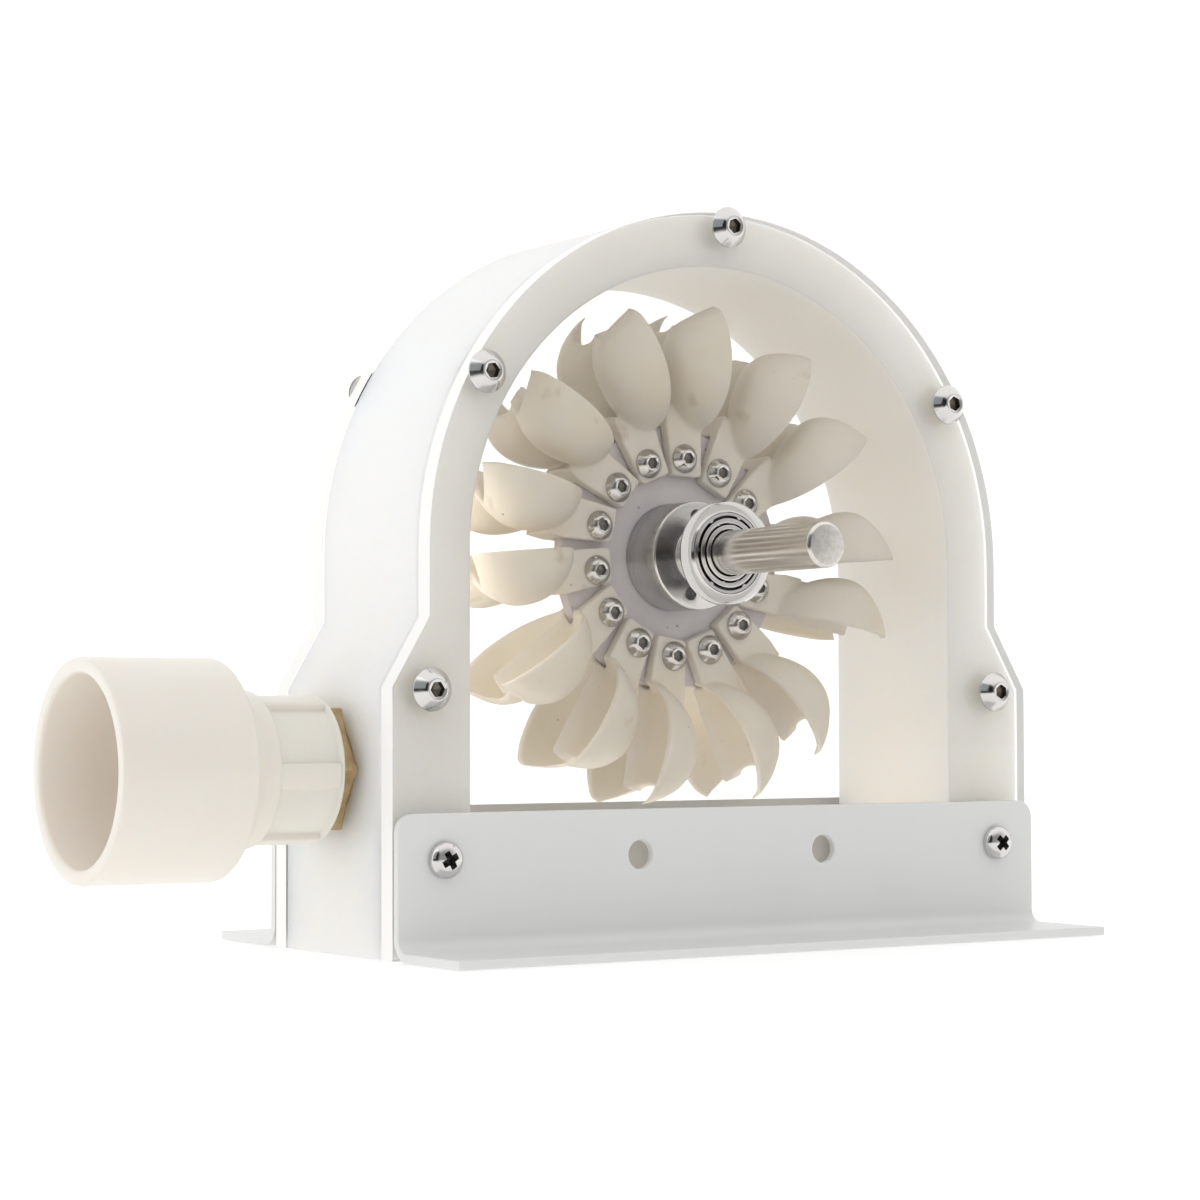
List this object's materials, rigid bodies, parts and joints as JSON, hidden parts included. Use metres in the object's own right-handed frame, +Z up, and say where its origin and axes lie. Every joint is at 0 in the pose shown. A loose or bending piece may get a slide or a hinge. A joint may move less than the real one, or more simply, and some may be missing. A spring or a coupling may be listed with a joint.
{
  "type": "pelton wheel micro-turbine",
  "caption": "Table-top Pelton micro-turbine: double-cup bucket runner on a steel shaft in an arched housing with clear side panels, pipe socket and brass jet nozzle.",
  "frame": {"origin": "on the ground under the middle of the whole object's box", "axes": "+Z up; the front panel and the shaft's free end face -Y; the water pipe enters from -X"},
  "size_m": [0.2318, 0.116, 0.164],
  "materials": {
    "milky_plastic": "satin, milky and slightly translucent",
    "clear_acrylic": "clear sheet with sawn, greyish edges",
    "white_painted_steel": "white satin paint on bent sheet",
    "nozzle_brass": "dull turned brass",
    "pipe_plastic": "smooth cream pipe fitting",
    "bearing_steel": "polished rings and shields",
    "shaft_steel": "ground bar",
    "hub_aluminium": "turned",
    "disc_plastic": "matt, faintly lavender white",
    "bucket_resin": "cast cream resin, satin"
  },
  "bodies": {
    "housing": {"housing_band": "milky_plastic", "front_panel": "clear_acrylic", "back_panel": "clear_acrylic", "front_bracket": "white_painted_steel", "back_bracket": "white_painted_steel", "inlet_nozzle": "nozzle_brass", "inlet_adapter": "pipe_plastic", "front_bearing_outer_ring": "bearing_steel", "back_bearing_outer_ring": "bearing_steel"},
    "runner": {"shaft": "shaft_steel", "hub": "hub_aluminium", "runner_disc": "disc_plastic", "front_bearing_inner_ring": "bearing_steel", "back_bearing_inner_ring": "bearing_steel", "bucket_01": "bucket_resin", "bucket_02": "bucket_resin", "bucket_03": "bucket_resin", "bucket_04": "bucket_resin", "bucket_05": "bucket_resin", "bucket_06": "bucket_resin", "bucket_07": "bucket_resin", "bucket_08": "bucket_resin", "bucket_09": "bucket_resin", "bucket_10": "bucket_resin", "bucket_11": "bucket_resin", "bucket_12": "bucket_resin", "bucket_13": "bucket_resin", "bucket_14": "bucket_resin"}
  },
  "joints": [
    {"name": "runner_spin", "type": "hinge", "parent": "housing", "child": "runner", "pos_m": [0.02935, 0.0047, 0.0874], "axis": [0, -1, 0], "continuous": true}
  ]
}
